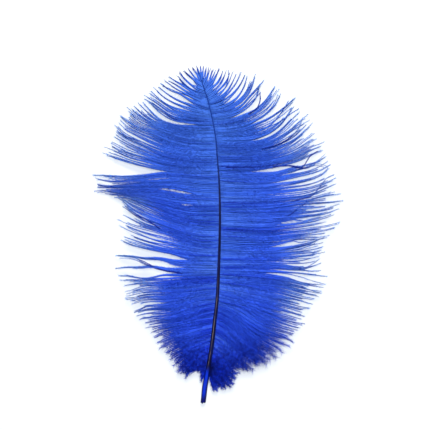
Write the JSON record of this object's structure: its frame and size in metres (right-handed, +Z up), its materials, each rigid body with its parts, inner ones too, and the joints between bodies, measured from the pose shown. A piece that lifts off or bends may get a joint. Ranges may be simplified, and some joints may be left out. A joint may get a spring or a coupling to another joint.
{
  "type": "ostrich feather",
  "caption": "Dyed ostrich body feather, lying flat: a cut quill and tapering grooved shaft with a broad oval of soft, loose barbs on both sides.",
  "frame": {"origin": "the middle of the box around the feather, on the surface that it lies on", "axes": "+Y along the shaft from the cut quill to the tip, +Z up from the surface, +X to the right with the groove of the shaft upwards"},
  "size_m": [0.133, 0.1806, 0.0091],
  "materials": {
    "vane": "soft royal blue dyed barbs, matte with a faint sheen",
    "shaft": "smooth horny shaft, dyed near-black navy, royal blue on the quill"
  },
  "bodies": {
    "root": {"feather": "vane"}
  },
  "joints": []
}
